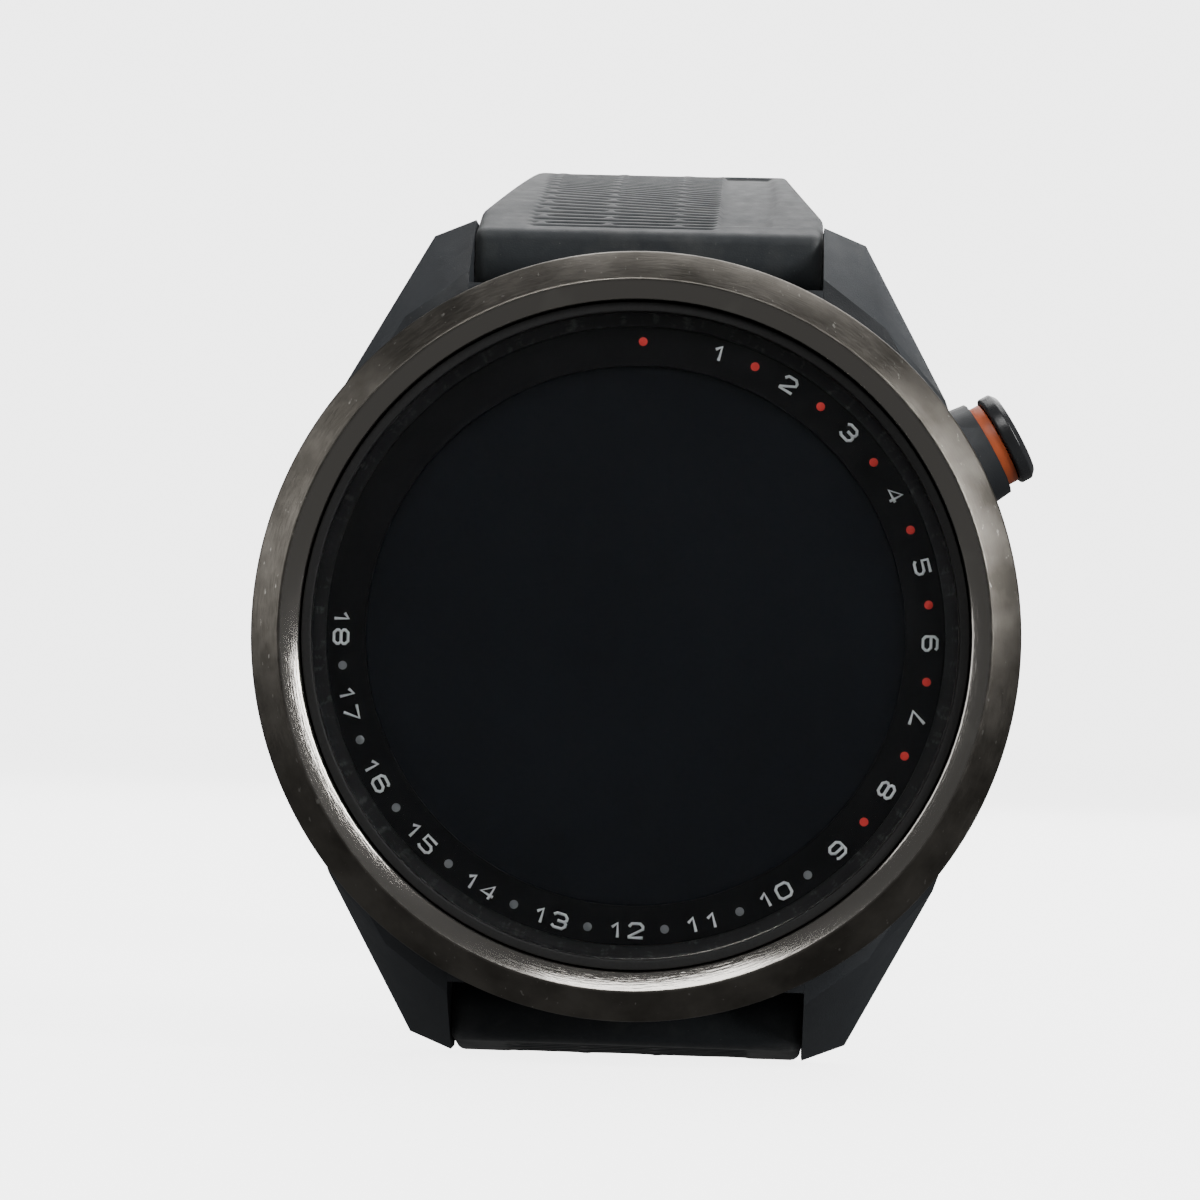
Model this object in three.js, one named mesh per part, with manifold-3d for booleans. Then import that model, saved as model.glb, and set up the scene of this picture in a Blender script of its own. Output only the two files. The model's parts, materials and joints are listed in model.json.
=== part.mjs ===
// Golf GPS watch: a round case with one button on a two-piece 20 mm strap, in millimetres.
// The dial faces -Y, 3 o'clock is +X and 12 o'clock is +Z. The origin is the centre of the
// case back's outer face. A depth is a distance forward from that face, towards -Y.
import * as THREE from 'three';
import { ConvexGeometry } from 'three/addons/geometries/ConvexGeometry.js';
import { mergeVertices } from 'three/addons/utils/BufferGeometryUtils.js';
import Module from 'manifold-3d';

const wasm = await Module();
wasm.setup();

// Driving dimensions
const FIT = 0.05; // the clearance left between two pieces that touch
const ROUND = 48; // sides of a large ring
const SMALL = 16; // sides of a small round piece
const MERGE = 1e-4;

const CASE_RADIUS = 21.2;
const CAVITY_RADIUS = 18.6;
const CASE_BACK = 1.0;
const CASE_FRONT = 9.0;
const BEZEL_RADIUS = 21.7;
const BEZEL_TOP = 11.9;
const LENS_RADIUS = 18.15;
const LENS_BACK = 9.72;
const LENS_FRONT = 11.0;
const DISPLAY_RADIUS = 15.9;
const FLANGE_RADIUS = 18.4;

const LUG_GAP = 10.12; // half the gap between a pair of lugs
const LUG_WALL = 19.9; // the case's flat wall behind the strap end
const BAR_DEPTH = 3.5;
const BAR_HEIGHT = 21.9;
const BAR_RADIUS = 0.75;
const BAR_BORE = 0.85;
const PIN_RADIUS = 0.42;

const SCREW_RING = 16.9;
const SCREW_ANGLES = [60, 120, 240, 300];

const BUTTON_ANGLE = 30; // above 3 o'clock
const BUTTON_DEPTH = 5.3;
const BOSS_FACE = 22.9;
const STEM_RADIUS = 1.0;

const STRAP_HALF = 10;
const STRAP_HALF_NARROW = 8.1;
const STRAP_THICK = 3.0;
const STRAP_THIN = 2.3;
const TAPER_LENGTH = 18;
const NOSE_RADIUS = 1.7;
const NOSE_FRONT = -BAR_DEPTH - NOSE_RADIUS;
const CREASE = 23.4;
const STRAP_START = -1; // the Y at which the even strap leaves its nose

const APEX = { y: 29, z: 31.2 }; // the upper strap's highest point
const HOOK_RADIUS = 28.3; // its outer face from the apex down to the buckle
const HOOK_CENTRE = APEX.z - HOOK_RADIUS;
const FLOOR = -24.4;
const FLAT_END = 44; // the lower strap lies flat as far as this Y
const CURL_RADIUS = 42;
const LOWER_LENGTH = 111;

const BUCKLE = { y: APEX.y + HOOK_RADIUS - STRAP_THIN / 2, z: HOOK_CENTRE };

// Materials
const finish = (color, roughness, metalness = 0) => new THREE.MeshStandardMaterial({ color, roughness, metalness });
const gunmetal = finish(0x55524c, 0.38, 0.9);
const polymer = finish(0x2b2e31, 0.6);
const glass = finish(0x0a0e14, 0.08);
const blackRubber = finish(0x141414, 0.8);
const strapRubber = finish(0x232a30, 0.75);
const dialBlack = finish(0x05080c, 0.5);
const displayBlue = finish(0x0e141c, 0.3);
const boardGreen = finish(0x1d3b2a, 0.6);
const steel = finish(0x9a9a98, 0.3, 1);
const gold = finish(0xc8a85a, 0.3, 1);
const orange = finish(0xcd5c32, 0.4);
const capBlack = finish(0x16181a, 0.25);
const foil = finish(0x8a8d90, 0.5, 0.6);
const amber = finish(0xa8672a, 0.5);
const ceramic = finish(0xc9bfa6, 0.7);

// Solids

// A closed geometry as a solid, moved by a matrix and with its faces turned outward.
function solid(geometry, place = new THREE.Matrix4()) {
  const bare = new THREE.BufferGeometry();
  bare.setAttribute('position', geometry.getAttribute('position').clone());
  if (geometry.index) bare.setIndex(geometry.index.clone());
  bare.applyMatrix4(place);
  const merged = mergeVertices(bare, MERGE);
  const points = merged.getAttribute('position');
  const corners = [];
  for (let i = 0; i < merged.index.count; i += 3) {
    const [a, b, c] = [0, 1, 2].map((k) => merged.index.getX(i + k));
    if (a !== b && b !== c && c !== a) corners.push(a, b, c);
  }
  const at = (n) => new THREE.Vector3().fromBufferAttribute(points, n);
  let volume = 0;
  for (let i = 0; i < corners.length; i += 3) {
    volume += at(corners[i]).dot(at(corners[i + 1]).cross(at(corners[i + 2])));
  }
  if (volume < 0) corners.reverse();
  const mesh = new wasm.Mesh({
    numProp: 3,
    vertProperties: new Float32Array(points.array),
    triVerts: new Uint32Array(corners),
  });
  return new wasm.Manifold(mesh);
}

const join = (first, ...rest) => rest.reduce((sum, next) => sum.add(next), first);
const cut = (first, ...rest) => rest.reduce((left, next) => left.subtract(next), first);

function piece(name, body, material) {
  const { vertProperties, triVerts } = body.getMesh();
  const geometry = new THREE.BufferGeometry();
  geometry.setAttribute('position', new THREE.BufferAttribute(vertProperties, 3));
  geometry.setIndex(new THREE.BufferAttribute(triVerts, 1));
  geometry.computeVertexNormals();
  const mesh = new THREE.Mesh(geometry, material);
  mesh.name = name;
  return mesh;
}

// A ring or disc about the watch's axis, from [radius, depth] corners.
function turned(profile, sides = ROUND) {
  const points = [...profile, profile[0]].map(([radius, depth]) => new THREE.Vector2(radius, -depth));
  return solid(new THREE.LatheGeometry(points, sides));
}

// A ring or rod about the X axis, from [radius, x] corners, moved by a matrix.
function spun(profile, place, sides = SMALL) {
  const points = [...profile, profile[0]].map(([radius, x]) => new THREE.Vector2(radius, x));
  return solid(new THREE.LatheGeometry(points, sides).rotateZ(-Math.PI / 2), place);
}

const at = (x, y, z) => new THREE.Matrix4().makeTranslation(x, y, z);
const washer = (inner, outer, low, high) => [[inner, low], [outer, low], [outer, high], [inner, high]];
const disc = (radius, back, front, sides = ROUND) => turned(washer(0, radius, back, front), sides);
const ring = (inner, outer, back, front, sides = ROUND) => turned(washer(inner, outer, back, front), sides);

// A rod about the X axis at a given Y and Z.
const rod = (radius, low, high, y, z, sides = SMALL) => spun(washer(0, radius, low, high), at(0, y, z), sides);

// A rod along the watch's axis at a given X and Z.
function post(radius, back, front, x, z, sides = SMALL) {
  const geometry = new THREE.CylinderGeometry(radius, radius, front - back, sides);
  return solid(geometry, at(x, -(back + front) / 2, z));
}

// A box between two X, two depths and two Z, moved by a matrix.
function block([x0, x1], [back, front], [z0, z1], place) {
  const geometry = new THREE.BoxGeometry(x1 - x0, front - back, z1 - z0);
  geometry.translate((x0 + x1) / 2, -(back + front) / 2, (z0 + z1) / 2);
  return solid(geometry, place);
}

// A side outline of [depth, z] corners, extruded across X.
function across(outline, low, high) {
  const shape = new THREE.Shape(outline.map(([depth, z]) => new THREE.Vector2(-depth, z)));
  const geometry = new THREE.ExtrudeGeometry(shape, { depth: high - low, bevelEnabled: false });
  const [ex, ey, ez] = [0, 1, 2].map((k) => new THREE.Vector3().setComponent(k, 1));
  return solid(geometry.applyMatrix4(new THREE.Matrix4().makeBasis(ey, ez, ex)), at(low, 0, 0));
}

const hull = (points) => solid(new ConvexGeometry(points.map((p) => new THREE.Vector3(...p))));
const around = (degrees, radius) => {
  const angle = THREE.MathUtils.degToRad(degrees);
  return [radius * Math.cos(angle), radius * Math.sin(angle)];
};

const buttonTurn = -THREE.MathUtils.degToRad(BUTTON_ANGLE);
const buttonPlace = new THREE.Matrix4().makeRotationY(buttonTurn).multiply(at(0, -BUTTON_DEPTH, 0));

// Case
function lug(sideX, sideZ) {
  const corners = [
    [LUG_GAP, 12, 1.4], [LUG_GAP, 22.9, 0.9], [LUG_GAP, 24.1, 1.8],
    [LUG_GAP, 24.1, 4.4], [LUG_GAP, 20.6, 8.3], [LUG_GAP, 12, 8.9],
    [13.7, 17.9, 8.3], [12.6, 23.2, 3.6], [12.6, 23.2, 1.6],
    [17.3, 14, 6.6], [17.3, 14, 1.6], [18.5, 10.4, 7.4], [18.5, 10.4, 1.8],
  ];
  return hull(corners.map(([x, z, depth]) => [sideX * x, -depth, sideZ * z]));
}

function makeCaseBody() {
  const wall = turned([
    [CAVITY_RADIUS, CASE_BACK], [19.6, CASE_BACK], [20.9, 2.2], [CASE_RADIUS, 3.2],
    [CASE_RADIUS, CASE_FRONT], [CAVITY_RADIUS, CASE_FRONT],
  ]);
  const boss = spun([[0, 19], [3.3, 19], [2.85, BOSS_FACE], [0, BOSS_FACE]], buttonPlace);
  const shell = join(wall, lug(1, 1), lug(-1, 1), lug(1, -1), lug(-1, -1), boss);
  const hollow = disc(CAVITY_RADIUS, 0, 10);
  const posts = SCREW_ANGLES.map((angle) => post(2.2, 2.4, 5, ...around(angle, SCREW_RING)));
  const cuts = SCREW_ANGLES.map((angle) => post(0.55, 2, 4.6, ...around(angle, SCREW_RING), 12));
  for (const side of [1, -1]) {
    const gap = [side * LUG_WALL, side * 30].sort((a, b) => a - b);
    cuts.push(block([-LUG_GAP, LUG_GAP], [-1, 9.5], gap));
    cuts.push(rod(0.55, -11.7, 11.7, -BAR_DEPTH, side * BAR_HEIGHT, 12));
  }
  cuts.push(spun(washer(0, 1.1, 17, 24), buttonPlace));
  cuts.push(spun(washer(0, 2.56, 22.2, 24), buttonPlace));
  cuts.push(spun(washer(0, 1.5, 20.2, 21.2), buttonPlace));
  return cut(join(cut(shell, hollow), ...posts), ...cuts);
}

function makeBezel() {
  return turned([
    [BEZEL_RADIUS, CASE_FRONT + FIT], [BEZEL_RADIUS, 10.5], [19.95, BEZEL_TOP], [18.85, 11.3],
    [18.85, 9.55], [17.5, 9.55], [17.5, 8.4], [18.45, 8.4], [18.45, CASE_FRONT + FIT],
  ]);
}

const makeLens = () => turned([
  [0, LENS_BACK], [LENS_RADIUS, LENS_BACK], [LENS_RADIUS, 10.7], [17.85, LENS_FRONT], [0, LENS_FRONT],
]);

const PORT = { half: 4.2, low: -14, high: -9.8 };

function makeBackCover() {
  const groove = 17.95;
  const cover = turned([
    [0, 0], [15.2, 0], [15.9, 0.9], [FLANGE_RADIUS, 0.9], [FLANGE_RADIUS, 1.25], [groove, 1.25],
    [groove, 1.85], [FLANGE_RADIUS, 1.85], [FLANGE_RADIUS, 2.1], [0, 2.1],
  ]);
  const holes = SCREW_ANGLES.map((angle) => post(0.6, 0, 3, ...around(angle, SCREW_RING), 12));
  const sinks = SCREW_ANGLES.map((angle) => post(1.0, 0, 1.4, ...around(angle, SCREW_RING), 12));
  const port = block([-PORT.half, PORT.half], [-1, 3], [PORT.low, PORT.high]);
  return cut(cover, ...holes, ...sinks, port);
}

function makeScrew(angle) {
  const [x, z] = around(angle, SCREW_RING);
  return join(post(0.5, 1.2, 4.4, x, z, 12), post(0.92, 0.95, 1.35, x, z, 12));
}

const PORT_PINS = [-2.7, -0.9, 0.9, 2.7];
const PORT_ROW = (PORT.low + PORT.high) / 2;

function makePort() {
  const body = block([-4.1, 4.1], [0.5, 2.05], [PORT.low + 0.1, PORT.high - 0.1]);
  return cut(body, ...PORT_PINS.map((x) => post(0.55, 0, 3, x, PORT_ROW, 12)));
}

function makeMidFrame() {
  const plate = disc(18.2, 5.35, 5.95);
  const walls = block([-11, 11], [2.6, 5.5], [-10, 10]);
  const pocket = block([-10.3, 10.3], [2, 5.35], [-9.3, 9.3]);
  const leadNotch = block([-5.3, -1.7], [4, 6.2], [9.2, 10.9]);
  const switchNotch = block([14.1, 19], [-4, 4], [-2.2, 2.2], buttonPlace);
  return cut(join(plate, walls), pocket, leadNotch, switchNotch);
}

function makeMainBoard() {
  const stemNotch = block([15.9, 18], [-3, 3], [-1.5, 1.5], buttonPlace);
  return cut(disc(17.2, 6, 6.8), stemNotch);
}

const makeShieldCan = () => cut(
  block([-8, 8], [6.85, 7.85], [-8, 4]),
  block([-7.75, 7.75], [6, 7.6], [-7.75, 3.75]),
);

const makeDisplayFlex = () => across([
  [8.9, -15.95], [8.9, -17.1], [6.85, -17.1], [6.85, -15.2],
  [7.05, -15.2], [7.05, -16.9], [8.7, -16.9], [8.7, -15.95],
], -3, 3);

const makeBatteryLead = () => across([
  [4.3, 9.05], [4.3, 10.75], [5.95, 10.75], [5.95, 10.5], [4.55, 10.5], [4.55, 9.05],
], -5, -2);

function caseGroup() {
  const group = new THREE.Group();
  group.add(
    piece('case_body', makeCaseBody(), polymer),
    piece('bezel', makeBezel(), gunmetal),
    piece('lens', makeLens(), glass),
    piece('lens_gasket', ring(18.25, 18.75, 9.6, 10.9), blackRubber),
    piece('lens_adhesive', ring(17.6, 18.1, 9.6, 9.7), dialBlack),
    piece('dial_ring', ring(15.25, 17.35, 9.42, 9.66), dialBlack),
    piece('display_panel', disc(DISPLAY_RADIUS, 8.55, 9.35), displayBlue),
    piece('backlight', disc(DISPLAY_RADIUS, 7.95, 8.5), foil),
    piece('display_flex', makeDisplayFlex(), amber),
    piece('mid_frame', makeMidFrame(), blackRubber),
    piece('main_board', makeMainBoard(), boardGreen),
    piece('shield_can', makeShieldCan(), steel),
    piece('processor', block([-3.5, 3.5], [6.85, 7.45], [-5.5, 1.5]), capBlack),
    piece('gps_antenna', block([-5, 5], [6.85, 7.8], [5.5, 15]), ceramic),
    piece('battery', block([-10, 10], [2.6, 5.3], [-9, 9]), foil),
    piece('battery_pad', block([-9, 9], [2.15, 2.55], [-8, 8]), blackRubber),
    piece('battery_lead', makeBatteryLead(), amber),
    piece('vibration_motor', post(3.5, 2.6, 5.2, 0, -14), steel),
    piece('back_cover', makeBackCover(), polymer),
    piece('back_seal', ring(18.0, 18.5, 1.3, 1.8), blackRubber),
    piece('charge_port', makePort(), capBlack),
  );
  SCREW_ANGLES.forEach((angle, n) => group.add(piece(`back_screw_${n + 1}`, makeScrew(angle), steel)));
  PORT_PINS.forEach((x, n) => {
    group.add(piece(`charge_contact_${n + 1}`, post(0.5, 0.2, 2.4, x, PORT_ROW, 12), gold));
  });
  return group;
}

// Button: its own axis is local +X, in a group turned to its place on the case.
function buttonGroup() {
  const group = new THREE.Group();
  group.rotation.y = buttonTurn;
  const onAxis = at(0, -BUTTON_DEPTH, 0);
  const cap = spun([
    [0, 24.2], [1.05, 24.2], [1.05, 23.65], [2.6, 23.65], [2.7, 23.8], [2.7, 24.4], [2.3, 24.68], [0, 24.78],
  ], onAxis, 24);
  const body = block([14.3, 15.9], [4.3, 5.95], [-1.5, 1.5]);
  const plunger = block([15.8, 16.25], [4.9, 5.7], [-0.5, 0.5]);
  group.add(
    piece('button_cap', cap, capBlack),
    piece('button_accent_ring', spun(washer(1.05, 2.45, BOSS_FACE, 23.6), onAxis, 24), orange),
    piece('button_stem', spun(washer(0, STEM_RADIUS, 16.9, 24.15), onAxis), steel),
    piece('button_clip', spun(washer(1.04, 1.6, 18.0, 18.3), onAxis), steel),
    piece('button_seal', spun(washer(1.04, 1.45, 20.25, 21.15), onAxis), blackRubber),
    piece('button_switch', join(body, plunger), steel),
  );
  return group;
}

// Strap
const taper = (length) => 1 - (1 - THREE.MathUtils.clamp(length / TAPER_LENGTH, 0, 1)) ** 2;
const halfWidth = (length) => STRAP_HALF + (STRAP_HALF_NARROW - STRAP_HALF) * taper(length);
const thickness = (length) => STRAP_THICK + (STRAP_THIN - STRAP_THICK) * taper(length);

// A bar of eight-sided section along stations on its outer face. A station gives a point, the
// outward normal, half the width and the thickness.
function swept(stations) {
  const edge = 0.4;
  const positions = [];
  const index = [];
  for (const { y, z, ny, nz, half, thick } of stations) {
    const section = [
      [-half, edge], [-half + edge, 0], [half - edge, 0], [half, edge],
      [half, thick - edge], [half - edge, thick], [-half + edge, thick], [-half, thick - edge],
    ];
    for (const [x, depth] of section) positions.push(x, y - ny * depth, z - nz * depth);
  }
  const sides = 8;
  const last = (stations.length - 1) * sides;
  for (let k = 0; k < sides; k += 1) {
    const next = (k + 1) % sides;
    for (let row = 0; row < last; row += sides) {
      index.push(row + k, row + next, row + sides + k);
      index.push(row + next, row + sides + next, row + sides + k);
    }
    if (k > 0 && k < sides - 1) {
      index.push(0, k + 1, k);
      index.push(last, last + k, last + k + 1);
    }
  }
  const geometry = new THREE.BufferGeometry();
  geometry.setAttribute('position', new THREE.Float32BufferAttribute(positions, 3));
  geometry.setIndex(index);
  return solid(geometry);
}

// The round end about a spring bar, with the strap's flat front face and its first stretch.
function nose(side, outline) {
  const points = [];
  for (let k = 0; k < SMALL; k += 1) {
    const [dy, dz] = around((k * 360) / SMALL, NOSE_RADIUS);
    points.push([-BAR_DEPTH + dy, side * BAR_HEIGHT + dz]);
  }
  points.push(...outline);
  return hull(points.flatMap(([y, z]) => [[-STRAP_HALF, y, z], [STRAP_HALF, y, z]]));
}

// The upper strap's outer face: a wide arc up to the apex, then the hook down to the buckle.
const rise = APEX.z - CREASE;
const run = APEX.y - NOSE_FRONT;
const ARCH_RADIUS = (rise * rise + run * run) / (2 * rise);
const ARCH_CENTRE = APEX.z - ARCH_RADIUS;
const ARCH_START = Math.asin((STRAP_START - APEX.y) / ARCH_RADIUS);

function upperStations() {
  const stations = [];
  const add = (radius, centre, angle, length) => stations.push({
    y: APEX.y + radius * Math.sin(angle),
    z: centre + radius * Math.cos(angle),
    ny: Math.sin(angle),
    nz: Math.cos(angle),
    half: halfWidth(length),
    thick: thickness(length),
  });
  const archSteps = 12;
  const hookSteps = 14;
  for (let k = 0; k < archSteps; k += 1) {
    const angle = ARCH_START * (1 - k / archSteps);
    add(ARCH_RADIUS, ARCH_CENTRE, angle, ARCH_RADIUS * (angle - ARCH_START));
  }
  const archLength = -ARCH_RADIUS * ARCH_START;
  for (let k = 0; k <= hookSteps; k += 1) {
    const angle = (k * Math.PI) / 2 / hookSteps;
    add(HOOK_RADIUS, HOOK_CENTRE, angle, archLength + HOOK_RADIUS * angle);
  }
  return stations;
}

// The lower strap's outer face: flat, then curling up, at a length from its start.
function lowerStation(length) {
  const angle = Math.max(length - (FLAT_END - STRAP_START), 0) / CURL_RADIUS;
  const left = LOWER_LENGTH - length;
  const round = STRAP_HALF_NARROW;
  const tip = left < round ? Math.sqrt(round * round - (round - left) ** 2) : STRAP_HALF;
  return {
    y: Math.min(STRAP_START + length, FLAT_END) + CURL_RADIUS * Math.sin(angle),
    z: FLOOR + CURL_RADIUS * (1 - Math.cos(angle)),
    ny: Math.sin(angle),
    nz: -Math.cos(angle),
    half: Math.min(halfWidth(length), Math.max(tip, 1)),
    thick: thickness(length),
  };
}

function lowerStations() {
  const flat = FLAT_END - STRAP_START;
  const curl = LOWER_LENGTH - STRAP_HALF_NARROW - flat;
  const lengths = [0, 3, 6, 9, 12, 15, 18, 31, flat];
  for (let k = 1; k <= 14; k += 1) lengths.push(flat + (curl * k) / 14);
  for (let k = 1; k <= 6; k += 1) {
    lengths.push(flat + curl + STRAP_HALF_NARROW * Math.sin((k * Math.PI) / 12));
  }
  return lengths.map(lowerStation);
}

// The quick-release lever and what must be cut for it. The lever points to the wrist side.
const LEVER_X = 7.4;
const LEVER_LEAN = 40;

function leverPlace(side) {
  const lean = -side * THREE.MathUtils.degToRad(LEVER_LEAN);
  return at(0, -BAR_DEPTH, side * BAR_HEIGHT).multiply(new THREE.Matrix4().makeRotationX(lean));
}

function releasePin(side) {
  const place = leverPlace(side);
  const pin = spun(washer(0, PIN_RADIUS, 6.9, 10.9), place, 12);
  const stud = block([LEVER_X - 0.3, LEVER_X + 0.3], [-2.1, 0], [-0.3, 0.3], place);
  const pad = block([LEVER_X - 0.6, LEVER_X + 0.6], [-2.3, -1.9], [-0.6, 0.6], place);
  return join(pin, stud, pad);
}

function barTube(side) {
  const place = leverPlace(side);
  const tube = spun(washer(0.5, BAR_RADIUS, -9.3, 9.3), place, 12);
  return cut(tube, block([5.9, 7.9], [-1, -0.2], [-0.36, 0.36], place));
}

// The spring inside a bar: a helix of thin wire, ending short of the released pin's reach.
class Helix extends THREE.Curve {
  getPoint(t) {
    const angle = t * 14 * Math.PI;
    const low = -6.5;
    const high = 5.5;
    return new THREE.Vector3(low + (high - low) * t, 0.34 * Math.cos(angle), 0.34 * Math.sin(angle));
  }
}

function barSpring(side) {
  const wire = new THREE.Shape([0, 1, 2].map((k) => new THREE.Vector2(...around(k * 120, 0.1))));
  const settings = { steps: 49, extrudePath: new Helix(), bevelEnabled: false };
  return solid(new THREE.ExtrudeGeometry(wire, settings), leverPlace(side));
}

function barPieces(name, side) {
  const fixedPin = spun(washer(0, PIN_RADIUS, -10.9, -6.9), leverPlace(side), 12);
  return [
    piece(`${name}_bar_tube`, barTube(side), steel),
    piece(`${name}_bar_pin`, fixedPin, steel),
    piece(`${name}_bar_spring`, barSpring(side), steel),
    piece(`${name}_release_pin`, releasePin(side), steel),
  ];
}

function strapCuts(side) {
  const bore = rod(BAR_BORE, -11, 11, -BAR_DEPTH, side * BAR_HEIGHT, 12);
  const notch = block([5.4, 8.6], [-4, 0], [-1, 1], leverPlace(side));
  return [bore, notch];
}

function makeUpperStrap() {
  const joinAngle = Math.asin((STRAP_START + 2 - APEX.y) / ARCH_RADIUS);
  const top = [APEX.y, ARCH_CENTRE];
  const along = (radius) => [top[0] + radius * Math.sin(joinAngle), top[1] + radius * Math.cos(joinAngle)];
  const outline = [[NOSE_FRONT, CREASE], along(ARCH_RADIUS - 0.05), along(ARCH_RADIUS - STRAP_THICK + 0.1)];
  const loop = rod(1.55, -STRAP_HALF_NARROW, STRAP_HALF_NARROW, BUCKLE.y, BUCKLE.z);
  const bore = rod(BAR_BORE, -9, 9, BUCKLE.y, BUCKLE.z, 12);
  const slot = block([-1.4, 1.4], [-60, -53], [0, BUCKLE.z + 2.6]);
  const body = join(nose(1, outline), swept(upperStations()), loop);
  return cut(body, ...strapCuts(1), bore, slot);
}

function makeLowerStrap() {
  const inner = FLOOR + STRAP_THICK - 0.1;
  const outline = [[NOSE_FRONT, -CREASE], [NOSE_FRONT + 1, FLOOR], [1, FLOOR], [1, inner]];
  const holes = [];
  for (let length = 48; length <= 102; length += 6) {
    const { y, z, ny, nz } = lowerStation(length);
    const turn = new THREE.Matrix4().makeRotationX(Math.atan2(nz, ny));
    holes.push(solid(new THREE.CylinderGeometry(1.1, 1.1, 8, 12), at(0, y, z).multiply(turn)));
  }
  return cut(join(nose(-1, outline), swept(lowerStations())), ...strapCuts(-1), ...holes);
}

// A keeper loop round the strap's hook, at an angle past the apex.
function keeper(name, degrees) {
  const half = 2;
  const outside = block([-9.6, 9.6], [-half, half], [24.7, 31.9]);
  const inside = block([-8.5, 8.5], [-5, 5], [25.65, 30.9]);
  const mesh = piece(name, cut(outside, inside), strapRubber);
  mesh.position.set(0, APEX.y, HOOK_CENTRE);
  mesh.rotation.x = -THREE.MathUtils.degToRad(degrees);
  return mesh;
}

// Buckle: a U of metal that hangs from its bar.
function makeBuckleFrame() {
  const depth = -BUCKLE.y;
  const outside = block([-10.4, 10.4], [depth - 1, depth + 1], [BUCKLE.z - 9.4, BUCKLE.z + 1.5]);
  const inside = block([-8.6, 8.6], [depth - 3, depth + 3], [BUCKLE.z - 7.4, BUCKLE.z + 4]);
  return cut(outside, inside, rod(BAR_BORE, -9.9, 9.9, BUCKLE.y, BUCKLE.z, 12));
}

function makeTongue() {
  const loop = spun(washer(0.88, 1.45, -0.95, 0.95), at(0, BUCKLE.y, BUCKLE.z));
  const depth = -BUCKLE.y;
  return join(loop, block([-0.8, 0.8], [depth - 1.75, depth - 1.05], [BUCKLE.z - 9.2, BUCKLE.z + 0.3]));
}

function strapGroup() {
  const group = new THREE.Group();
  group.add(
    piece('upper_strap', makeUpperStrap(), strapRubber),
    ...barPieces('upper', 1),
    keeper('fixed_keeper', 78),
    keeper('free_keeper', 50),
    piece('buckle_frame', makeBuckleFrame(), gunmetal),
    piece('buckle_bar', rod(BAR_RADIUS, -9.8, 9.8, BUCKLE.y, BUCKLE.z, 12), steel),
    piece('buckle_tongue', makeTongue(), gunmetal),
    piece('lower_strap', makeLowerStrap(), strapRubber),
    ...barPieces('lower', -1),
  );
  return group;
}

const watch = new THREE.Group();
watch.add(caseGroup(), buttonGroup(), strapGroup());
export default watch;
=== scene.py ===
"""Golf GPS watch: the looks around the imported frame. Sizes are in metres, in the frame's own axes.

The dial faces -Y, 3 o'clock is +X and 12 o'clock is +Z. A depth is a distance towards -Y.
"""

import json
import math

import bmesh
import bpy
from mathutils import Matrix, Vector


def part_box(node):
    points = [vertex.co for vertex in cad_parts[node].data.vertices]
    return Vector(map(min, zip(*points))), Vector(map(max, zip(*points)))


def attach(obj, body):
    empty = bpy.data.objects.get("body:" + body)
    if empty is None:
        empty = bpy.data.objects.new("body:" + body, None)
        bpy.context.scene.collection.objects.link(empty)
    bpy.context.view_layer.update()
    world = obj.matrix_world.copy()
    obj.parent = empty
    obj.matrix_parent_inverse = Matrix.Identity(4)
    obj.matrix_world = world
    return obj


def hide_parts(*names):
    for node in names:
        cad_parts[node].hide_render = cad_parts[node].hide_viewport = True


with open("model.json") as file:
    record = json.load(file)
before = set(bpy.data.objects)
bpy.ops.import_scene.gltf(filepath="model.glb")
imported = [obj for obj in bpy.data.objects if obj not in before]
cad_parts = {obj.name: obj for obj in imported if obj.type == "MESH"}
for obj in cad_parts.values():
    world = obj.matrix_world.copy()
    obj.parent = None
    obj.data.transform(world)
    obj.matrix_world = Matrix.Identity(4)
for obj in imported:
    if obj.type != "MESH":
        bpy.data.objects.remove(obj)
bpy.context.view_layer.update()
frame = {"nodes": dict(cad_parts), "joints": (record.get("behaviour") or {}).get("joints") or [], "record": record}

MM = 0.001
FINE = 192  # sides of a large visible ring

# ---------------------------------------------------------------- sizes from the frame


def radius_of(node):
    """The radius of a node that is round about the Y axis."""
    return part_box(node)[1].x


def depths_of(node):
    """How far back and how far forward a node reaches, as depths."""
    low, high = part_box(node)
    return -high.y, -low.y


BEZEL_RADIUS = radius_of("bezel")
LENS_RADIUS = radius_of("lens")
DIAL_FRONT = depths_of("dial_ring")[1]
LENS_BACK, LENS_FRONT = depths_of("lens")
BEZEL_BACK, BEZEL_TOP = depths_of("bezel")
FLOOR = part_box("lower_strap")[0].z
RIDGE_RADIUS = 19.95 * MM  # where the brushed outer cone meets the polished inner bevel
RIDGE_SHARE = RIDGE_RADIUS / BEZEL_RADIUS
BEZEL_SHOULDER = 9.05 * MM  # depth of the shoulder that rests on the case
BEZEL_EDGE = 10.5 * MM  # depth where the outer wall meets the cone
MOUTH_RADIUS = 18.85 * MM  # the opening for the lens
MOUTH_DEPTH = 11.3 * MM
LEDGE_RADIUS = 17.5 * MM  # the ledge that the lens lies over
LEDGE_DEPTH = 9.55 * MM
SKIRT_RADIUS = 18.45 * MM  # the part that drops inside the case
DIAL_BACK = 9.42 * MM

BAR_Y = (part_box("upper_bar_pin")[0].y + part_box("upper_bar_pin")[1].y) / 2
BAR_Z = (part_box("upper_bar_pin")[0].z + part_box("upper_bar_pin")[1].z) / 2
BUCKLE_Y = (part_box("buckle_bar")[0].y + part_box("buckle_bar")[1].y) / 2
BUCKLE_Z = (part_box("buckle_bar")[0].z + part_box("buckle_bar")[1].z) / 2

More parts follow.
